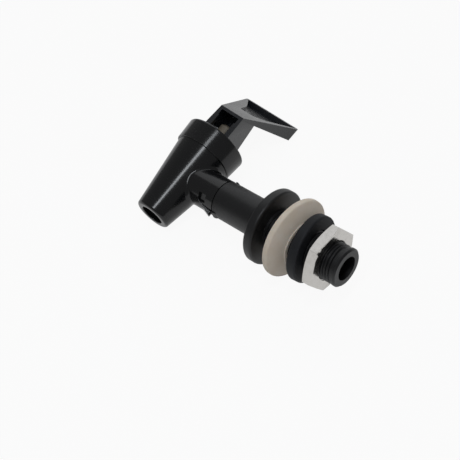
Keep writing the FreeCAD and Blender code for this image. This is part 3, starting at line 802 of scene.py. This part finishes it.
    @staticmethod
    def favour_flats(piece: bpy.types.Object) -> None:
        """Shade flat faces flat, and leave the turn of the light to the roundings."""
        Bench.modify(piece, "WEIGHTED_NORMAL", keep_sharp=True, weight=FACE_WEIGHT)

    @staticmethod
    def settle(piece: bpy.types.Object) -> None:
        """Put a piece's place and turn into its mesh."""
        Bench.take(piece)
        bpy.ops.object.transform_apply(location=True, rotation=True, scale=True)

    @staticmethod
    def join(name: str, pieces: Sequence[bpy.types.Object]) -> bpy.types.Object:
        """Join pieces into one.

        Args:
            name: Name of the joined piece.
            pieces: Pieces to join, the first of which stays.

        Returns:
            The joined piece.
        """
        Bench.clear()
        for piece in pieces:
            piece.select_set(True)
        bpy.context.view_layer.objects.active = pieces[0]
        bpy.ops.object.join()
        pieces[0].name = name
        return pieces[0]


@dataclass
class SubAssembly:
    """What every sub-assembly has: the finishes, and ways to dress pieces and nodes."""

    wardrobe: Wardrobe

    def keep(self, piece: bpy.types.Object, slot: Slot, body: Body, *nodes: str) -> None:
        """Dress a new piece, set it on its body and let it stand for its nodes.

        Args:
            piece: The finished piece.
            slot: Slot whose finish it takes.
            body: Body that it moves with.
            nodes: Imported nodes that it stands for.
        """
        self.wardrobe.dress(piece, slot)
        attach(piece, body.value)
        if nodes:
            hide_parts(*nodes)
        faces = len(piece.data.polygons)
        log.info("%s: new piece, %d faces, on %s", piece.name, faces, body.value)

    def keep_node(self, node: str, slot: Slot) -> None:
        """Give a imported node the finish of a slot."""
        self.wardrobe.dress(frame["nodes"][node], slot)
        log.info("%s: packed node with the finish of %s", node, slot.value)


# --- sub-assemblies ---


@dataclass
class ThreadedShank(SubAssembly):
    """The shank with its flange, its outside thread and its sealing ring."""

    crest_radius: float = 9.46 * MM
    root_radius: float = 8.55 * MM
    plain_radius: float = 9.525 * MM
    skin: float = 0.1 * MM
    pitch: float = 1.5875 * MM
    hub_end: float = -39.0 * MM
    hub_gap: float = 0.06 * MM
    plain_ring: float = 1.9 * MM
    run_out: float = 0.5 * MM
    run_in: float = 0.9 * MM
    ridge_base: float = 1.36 * MM
    ridge_crest: float = 0.30 * MM
    ridge_corner: float = 0.07 * MM
    corner_rounds: int = 2
    sunk: float = 0.12 * MM
    steps: int = 80
    fade_steps: int = 16
    reach: float = 0.005 * MM
    smooth_turn: float = 32.0

    def build(self) -> None:
        """Make the shank with its thread and dress the sealing ring."""
        core = self.core()
        ridge = self.ridge()
        shank = Bench.join("threaded_shank", [core, ridge])
        Bench.shade(shank, self.smooth_turn)
        self.keep(shank, Slot.SATIN, Body.VALVE, "shank")
        self.keep_node("shank_o_ring", Slot.RUBBER)

    def core(self) -> bpy.types.Object:
        """Copy the shank and turn its threaded length down to the thread's root.

        Returns:
            The shank without its ridge.
        """
        core = Bench.merged_copy("shank", "shank_core")
        first = self.hub_end + self.hub_gap
        last = -self.plain_ring - self.run_out
        for place in (first, last, -self.plain_ring):
            with Bench.editing(core):
                Bench.pick_all()
                bpy.ops.mesh.bisect(plane_co=(place, 0.0, 0.0), plane_no=(1.0, 0.0, 0.0))
        share = self.root_radius / self.plain_radius

        def on_thread(point: Vector) -> bool:
            """Tell whether a vertex is on the threaded length's skin."""
            inside = first - self.reach <= point.x <= last + self.reach
            return inside and math.hypot(point.y, point.z) > self.plain_radius - self.skin

        with Bench.editing(core):
            Bench.pick(core, on_thread)
            bpy.ops.transform.resize(value=(1.0, share, share), center_override=(0.0, 0.0, 0.0))
        return core

    def ridge(self) -> bpy.types.Object:
        """Wind the thread's ridge from a small section, with its ends sunk.

        Returns:
            The ridge as a closed mesh.
        """
        base = self.root_radius - self.sunk
        height = self.crest_radius - base
        middle = base + height / 2.0
        start = self.hub_end + self.run_in
        turns = int((-self.plain_ring - self.run_out - 0.5 * self.ridge_base - start) / self.pitch)
        Bench.clear()
        bpy.ops.mesh.primitive_plane_add(size=1.0, rotation=(math.radians(90.0), 0.0, 0.0))
        ridge = bpy.context.object
        ridge.name = "thread_ridge"
        Bench.settle(ridge)
        with Bench.editing(ridge):
            Bench.pick_all()
            bpy.ops.transform.resize(value=(self.ridge_base, 1.0, height))
            bpy.ops.transform.translate(value=(start, 0.0, middle))
            Bench.pick(ridge, lambda point: point.z > middle)
            bpy.ops.transform.resize(value=(self.ridge_crest / self.ridge_base, 1.0, 1.0))
            bpy.ops.mesh.bevel(
                offset=self.ridge_corner, segments=self.corner_rounds, affect="VERTICES")
            Bench.pick_all()
            bpy.ops.mesh.delete(type="ONLY_FACE")
        section = len(ridge.data.vertices)
        Bench.modify(
            ridge, "SCREW", axis="X", angle=math.tau, screw_offset=self.pitch, iterations=turns,
            steps=self.steps, render_steps=self.steps, use_smooth_shade=True,
        )
        self.sink_ends(ridge, section, base)
        with Bench.editing(ridge):
            Bench.pick_all()
            bpy.ops.mesh.fill_holes(sides=0)
            Bench.face_outwards()
        log.info("thread: %d turns of %.4f mm", turns, self.pitch / MM)
        return ridge

    def sink_ends(self, ridge: bpy.types.Object, section: int, base: float) -> None:
        """Let the ridge rise out of the root over part of a turn at each end.

        Args:
            ridge: The wound ridge.
            section: Vertices in one section.
            base: Radius of the sections' inner side.
        """
        last = len(ridge.data.vertices) // section - 1
        with Bench.editing(ridge):
            mesh = bmesh.from_edit_mesh(ridge.data)
            mesh.verts.ensure_lookup_table()
            for at in range(self.fade_steps):
                rise = math.sin((at + 1) / self.fade_steps * math.pi / 2.0)
                for end in (at, last - at):
                    for vertex in mesh.verts[end * section:(end + 1) * section]:
                        radius = math.hypot(vertex.co.y, vertex.co.z)
                        goal = base + (radius - base) * rise
                        vertex.co.y *= goal / radius
                        vertex.co.z *= goal / radius
            bmesh.update_edit_mesh(ridge.data)


@dataclass
class ValveBody(SubAssembly):
    """The tapered body with its collar, the bonnet on it and what works inside."""

    def build(self) -> None:
        """Dress the body, the bonnet and the inner parts."""
        for node, slot in (
                ("faucet_body", Slot.GLOSS), ("bonnet_cap", Slot.GLOSS), ("seat_cup", Slot.CLEAR),
                ("valve_stem", Slot.STEM), ("slip_washer", Slot.WHITE),
                ("return_spring", Slot.STEEL)):
            self.keep_node(node, slot)


@dataclass
class LeverHandle(SubAssembly):
    """The hollow lever with its flared paddle and the pin through its leg."""

    axis_x: float = -99.5 * MM
    swivel: float = math.radians(11.4)
    fold_back: float = 9.2 * MM
    fold_height: float = 39.0 * MM
    rise_per_run: float = 28.0 / 38.8
    end_run: float = 38.8 * MM
    packed_wall: float = 1.0 * MM
    packed_depth: float = 0.9 * MM
    packed_slope: float = 0.11
    packed_bend: float = 20.0 * MM
    packed_bend_slope: float = 0.06
    tray_rim: tuple[Pair, ...] = ((4.1 * MM, 12.9 * MM), (16.1 * MM, 37.4 * MM))
    tray_floor: tuple[Triple, ...] = (
        (2.9 * MM, 16.6 * MM, 1.5 * MM), (15.7 * MM, 37.1 * MM, 2.8 * MM))
    edge_width: float = 0.35 * MM
    edge_rounds: int = 3
    edge_turn: float = 35.0
    edge_merge: float = 0.01 * MM
    skin: float = 0.02 * MM
    top_reach: float = 0.05 * MM
    top_turn: float = math.radians(0.5)
    level_least: float = 0.999
    facing_least: float = 0.3
    inward_least: float = 0.01 * MM

    def build(self) -> None:
        """Make the lever with its tray and rounded edges, and dress the pin."""
        lever = Bench.merged_copy("lever_handle", "rounded_lever")
        self.close_top(lever)
        self.sink_tray(lever)
        Bench.soften(lever, self.edge_width, self.edge_rounds, self.edge_turn)
        with Bench.editing(lever):
            Bench.merge_near(self.edge_merge)
        Bench.shade(lever, self.edge_turn)
        Bench.favour_flats(lever)
        self.keep(lever, Slot.LEVER, Body.LEVER, "lever_handle")
        self.keep_node("lever_pin", Slot.STEEL)

    def top_normal(self) -> Vector:
        """Work out which way the paddle's top faces.

        Returns:
            Its outward normal.
        """
        flat = Vector((0.0, -self.rise_per_run, 1.0)).normalized()
        flat.rotate(Quaternion((0.0, 0.0, 1.0), self.swivel))
        return flat

    def on_paddle(self, side: float, run: float, depth: float = 0.0) -> Vector:
        """Give the place of a point of the paddle.

        Args:
            side: Distance from the paddle's middle line.
            run: Level distance from the fold.
            depth: Distance below the paddle's top.

        Returns:
            Its place in the frame.
        """
        height = self.fold_height + self.rise_per_run * run
        place = Vector((side, run - self.fold_back, height))
        place.rotate(Quaternion((0.0, 0.0, 1.0), self.swivel))
        return place + Vector((self.axis_x, 0.0, 0.0)) - self.top_normal() * depth

    def below_top(self, point: Vector) -> Pair:
        """Measure a point against the paddle's top.

        Args:
            point: Place in the frame.

        Returns:
            Its depth below the top and its run from the fold.
        """
        local = point - Vector((self.axis_x, 0.0, 0.0))
        local.rotate(Quaternion((0.0, 0.0, 1.0), -self.swivel))
        run = local.y + self.fold_back
        return (self.on_paddle(0.0, 0.0) - point).dot(self.top_normal()), run

    def looks_inwards(self, middle: Vector, normal: Vector) -> bool:
        """Tell whether a face of the paddle looks up, to its middle line or to the fold.

        Args:
            middle: Middle of the face.
            normal: Normal of the face.

        Returns:
            Whether it looks one of these ways.
        """
        fold = self.on_paddle(0.0, 0.0)
        side = Vector((math.cos(self.swivel), math.sin(self.swivel), 0.0))
        away = (middle - fold).dot(side)
        to_fold = self.on_paddle(0.0, -1.0) - fold
        return (
            normal.dot(self.top_normal()) > self.facing_least
            or normal.dot(side) * away < -self.inward_least
            or normal.dot(to_fold) > self.facing_least)

    def in_hollow(self, middle: Vector, normal: Vector) -> bool:
        """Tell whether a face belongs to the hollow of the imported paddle.

        Args:
            middle: Middle of the face.
            normal: Normal of the face.

        Returns:
            Whether it does.
        """
        depth, run = self.below_top(middle)
        deepest = (
            self.packed_depth + self.packed_slope * run
            + max(0.0, run - self.packed_bend) * self.packed_bend_slope)
        inside = self.packed_wall < run < self.end_run - self.packed_wall
        return inside and self.skin < depth < deepest and self.looks_inwards(middle, normal)

    def on_top(self, middle: Vector, normal: Vector) -> bool:
        """Tell whether a face lies in the paddle's top."""
        level = normal.dot(self.top_normal()) > self.level_least
        return level and abs(self.below_top(middle)[0]) < self.top_reach

    def close_top(self, lever: bpy.types.Object) -> None:
        """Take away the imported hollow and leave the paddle's top as one flat face.

        Args:
            lever: The merged lever.
        """
        with Bench.editing(lever):
            count = Bench.pick_faces(lever, self.in_hollow)
            bpy.ops.mesh.delete(type="FACE")
            bpy.ops.mesh.select_mode(type="VERT")
            bpy.ops.mesh.select_non_manifold(
                extend=False, use_wire=False, use_multi_face=False, use_non_contiguous=False,
                use_verts=False)
            bpy.ops.mesh.edge_face_add()
            flat = Bench.pick_faces(lever, self.on_top)
            bpy.ops.mesh.dissolve_limited(angle_limit=self.top_turn)
        log.info("lever: %d faces of the packed hollow closed, %d flat faces joined", count, flat)

    def sink_tray(self, lever: bpy.types.Object) -> None:
        """Cut the shallow tray, which is narrow near the fold and wide at the free end.

        Args:
            lever: The lever with a flat top.
        """
        Bench.clear()
        bpy.ops.mesh.primitive_cube_add(size=2.0)
        cutter = bpy.context.object
        cutter.name = "tray_cutter"
        goals = {}
        for end, ((rim_side, rim_run), (low_side, low_run, depth)) in zip(
                (-1, 1), zip(self.tray_rim, self.tray_floor)):
            for side in (-1, 1):
                rim = self.on_paddle(side * rim_side, rim_run)
                low = self.on_paddle(side * low_side, low_run, depth)
                goals[(side, end, -1)] = low
                goals[(side, end, 1)] = rim + (rim - low)
        with Bench.editing(cutter):
            mesh = bmesh.from_edit_mesh(cutter.data)
            for vertex in mesh.verts:
                vertex.co = goals[tuple(round(part) for part in vertex.co)]
            bmesh.update_edit_mesh(cutter.data)
            Bench.face_outwards()
        Bench.modify(lever, "BOOLEAN", object=cutter, operation="DIFFERENCE", solver="EXACT")
        bpy.data.objects.remove(cutter)


@dataclass
class WallGasket:
    """The wall gasket's form: a rounded rim, and a slope up to a small nose."""

    place: Triple = (-31.95 * MM, 0.0, 0.45 * MM)
    lean: float = math.radians(3.4)
    bore: float = 10.225 * MM
    rim: float = 19.8 * MM
    rim_height: float = 3.3 * MM
    rim_round: float = 1.1 * MM
    slope: float = 24.9
    nose: float = 12.0 * MM
    nose_round: float = 0.5 * MM
    height: float = 7.0 * MM
    sides: int = 160
    smooth_turn: float = 40.0

    def make(self) -> bpy.types.Object:
        """Turn the gasket, lean it and set it at its place on the thread.

        Returns:
            The finished piece.
        """
        gasket = Bench.turned("sloped_wall_gasket", self.outline(), self.sides)
        gasket.rotation_euler = (0.0, math.radians(90.0) + self.lean, 0.0)
        gasket.location = self.place
        Bench.settle(gasket)
        Bench.shade(gasket, self.smooth_turn)
        return gasket

    @staticmethod
    def arc(middle: Pair, radius: float, first: float, last: float, parts: int) -> list[Pair]:
        """Return the points of an arc of the outline.

        Args:
            middle: Radius and height of the arc's middle.
            radius: Radius of the arc.
            first: Angle of its first point from straight down, in degrees.
            last: Angle of its last point.
            parts: Steps between them.

        Returns:
            Radius and height of its points.
        """
        turns = [math.radians(first + (last - first) * at / parts) for at in range(parts + 1)]
        return [(middle[0] + radius * math.sin(turn), middle[1] - radius * math.cos(turn))
                for turn in turns]

    def outline(self) -> list[Pair]:
        """Return the gasket's half section.

        Returns:
            Radius and height of its points.
        """
        inner = self.rim - self.rim_round
        lower = self.arc((inner, self.rim_round), self.rim_round, 0.0, 90.0, 6)
        top = (inner, self.rim_height - self.rim_round)
        upper = self.arc(top, self.rim_round, 90.0, 180.0 - self.slope, 5)
        foot = (self.nose - self.nose_round, self.height - self.nose_round)
        tip = self.arc(foot, self.nose_round, 90.0, 180.0, 3)
        (start, low), (end, high) = upper[-1], tip[0]
        rise = [(start + (end - start) * share, low + (high - low) * share)
                for share in (0.25, 0.5, 0.75)]
        return [(self.bore, 0.0), *lower, *upper, *rise, *tip, (self.bore, self.height)]


@dataclass
class Fasteners(SubAssembly):
    """The gaskets and the nut that clamp a dispenser's wall."""

    nut_edge: float = 0.12 * MM
    nut_edge_rounds: int = 2
    nut_edge_turn: float = 25.0
    nut_smooth_turn: float = 30.0

    def build(self) -> None:
        """Make the nut and the wall gasket, and dress the backing washer."""
        nut = Bench.merged_copy("hex_nut", "plated_hex_nut")
        Bench.soften(nut, self.nut_edge, self.nut_edge_rounds, self.nut_edge_turn)
        Bench.shade(nut, self.nut_smooth_turn)
        Bench.favour_flats(nut)
        self.keep(nut, Slot.NICKEL, Body.NUT, "hex_nut")
        self.keep(WallGasket().make(), Slot.BEIGE, Body.VALVE, "wall_gasket")
        self.keep_node("backing_washer", Slot.RUBBER)


# --- studio ---


@dataclass(frozen=True)
class Lamp:
    """A rectangular soft lamp aimed at the faucet."""

    name: str
    towards: Triple
    distance: float
    width: float
    height: float
    power: float
    colour: Triple


@dataclass
class Studio:
    """Camera, pale floor, soft lamps and world."""

    lens: float = 73.64
    sensor: float = 36.0
    clip: Pair = (0.01, 20.0)
    camera_place: Triple = (0.17028, -0.35656, -0.12977)
    camera_turn: tuple[float, float, float, float] = (0.48623, 0.79441, -0.051888, 0.360279)
    floor_up: Triple = (0.071, -0.969, 0.236)
    floor_size: float = 3.0
    floor_cells: int = 4
    floor_greys: Pair = (0.78, 0.82)
    floor_grain: float = 0.004
    seen_white: float = 0.93
    mirrored_white: float = 0.55
    target: Triple = (-0.058, 0.008, 0.012)
    lamps: tuple[Lamp, ...] = (
        Lamp(
            "overhead_strip", towards=(0.206, -0.913, -0.08), distance=0.75,
            width=0.12, height=0.45, power=1.5, colour=(0.92, 0.96, 1.0)),
        Lamp(
            "left_box", towards=(-0.50, -0.45, 0.74), distance=1.0,
            width=1.1, height=1.1, power=2.4, colour=(0.96, 0.98, 1.0)),
    )
    world_level: float = 0.21

    def build(self) -> None:
        """Set up everything that isn't part of the faucet."""
        self.camera()
        self.floor()
        for lamp in self.lamps:
            self.light(lamp)
        self.world()
        bpy.context.scene.view_settings.view_transform = "Standard"

    def camera(self) -> None:
        """Add the camera at the photograph's place and angle."""
        data = bpy.data.cameras.new("camera")
        data.lens, data.sensor_width = self.lens, self.sensor
        data.clip_start, data.clip_end = self.clip
        eye = bpy.data.objects.new("camera", data)
        eye.location = self.camera_place
        eye.rotation_mode = "QUATERNION"
        eye.rotation_quaternion = Quaternion(self.camera_turn)
        bpy.context.scene.collection.objects.link(eye)
        bpy.context.scene.camera = eye

    def lowest(self) -> float:
        """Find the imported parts' lowest point against the floor's normal.

        Returns:
            Its height along that normal.
        """
        up = Vector(self.floor_up).normalized()
        nodes = frame["nodes"].values()
        return min(up.dot(vertex.co) for node in nodes for vertex in node.data.vertices)

    def floor(self) -> None:
        """Lay the pale floor under the faucet as it lies."""
        up = Vector(self.floor_up).normalized()
        Bench.clear()
        bpy.ops.mesh.primitive_grid_add(
            x_subdivisions=self.floor_cells, y_subdivisions=self.floor_cells, size=self.floor_size)
        floor = bpy.context.object
        floor.name = "studio_floor"
        floor.rotation_mode = "QUATERNION"
        floor.rotation_quaternion = up.to_track_quat("Z", "Y")
        centre = Vector(self.target)
        floor.location = centre + up * (self.lowest() - up.dot(centre))
        Bench.settle(floor)
        floor.data.materials.append(self.floor_finish())

    def floor_finish(self) -> bpy.types.Material:
        """Make the pale floor, which keeps the faucet's shadow and is clear from below.

        Returns:
            The finished material.
        """
        recipe = Recipe(bpy.data.materials.new("pale_floor"))
        grain = recipe.noise(recipe.place(), self.floor_grain)
        darker, lighter = (tone((grey, grey, grey)) for grey in self.floor_greys)
        skin = recipe.mix(grain, darker, lighter)
        lit = recipe.node("ShaderNodeBsdfDiffuse", None, {"Color": skin})
        glow = {"Color": WHITE_LIGHT, "Strength": 1.0}
        white = recipe.node("ShaderNodeEmission", None, glow)
        seen = recipe.node("ShaderNodeLightPath", outlet="Is Camera Ray")
        through = recipe.node("ShaderNodeLightPath", outlet="Is Transmission Ray")
        mirrored = recipe.node("ShaderNodeLightPath", outlet="Is Glossy Ray")
        share = (
            seen * self.seen_white + through * self.seen_white + mirrored * self.mirrored_white)
        clear = recipe.node("ShaderNodeBsdfTransparent")
        below = recipe.node("ShaderNodeNewGeometry", outlet="Backfacing")
        both = recipe.blend(below, recipe.blend(share, lit, white), clear)
        recipe.node("ShaderNodeOutputMaterial", None, {"Surface": both})
        return recipe.owner

    def light(self, lamp: Lamp) -> None:
        """Add one lamp.

        Args:
            lamp: Its place, size and power.
        """
        data = bpy.data.lights.new(lamp.name, "AREA")
        data.shape, data.size, data.size_y = "RECTANGLE", lamp.width, lamp.height
        data.energy, data.color = lamp.power, lamp.colour
        source = bpy.data.objects.new(lamp.name, data)
        away = Vector(lamp.towards).normalized()
        source.location = Vector(self.target) + away * lamp.distance
        source.rotation_mode = "QUATERNION"
        source.rotation_quaternion = away.to_track_quat("Z", "Y")
        bpy.context.scene.collection.objects.link(source)

    def world(self) -> None:
        """Make the world white to the camera and dim to everything else."""
        world = bpy.data.worlds.new("studio")
        bpy.context.scene.world = world
        recipe = Recipe(world)
        seen = recipe.node("ShaderNodeLightPath", outlet="Is Camera Ray")
        range_of_level = {"Value": seen, "To Min": self.world_level, "To Max": 1.0}
        level = recipe.node("ShaderNodeMapRange", None, range_of_level)
        glow = recipe.node("ShaderNodeBackground", None, {"Color": WHITE_LIGHT, "Strength": level})
        recipe.node("ShaderNodeOutputWorld", None, {"Surface": glow})


# --- the whole ---


def remove_starters() -> None:
    """Remove the objects that an ordinary new file starts with."""
    own = set(frame["nodes"].values()) | set(frame["bodies"].values())
    for thing in list(bpy.data.objects):
        if thing not in own:
            bpy.data.objects.remove(thing)


def main() -> None:
    """Build the studio and every sub-assembly."""
    logging.basicConfig(level=logging.INFO, format="%(name)s: %(message)s")
    remove_starters()
    bpy.context.view_layer.update()
    Studio().build()
    wardrobe = Wardrobe()
    for part in (ThreadedShank, ValveBody, LeverHandle, Fasteners):
        part(wardrobe).build()
    Bench.clear()
    bpy.context.view_layer.update()


if __name__ == "__main__":
    main()
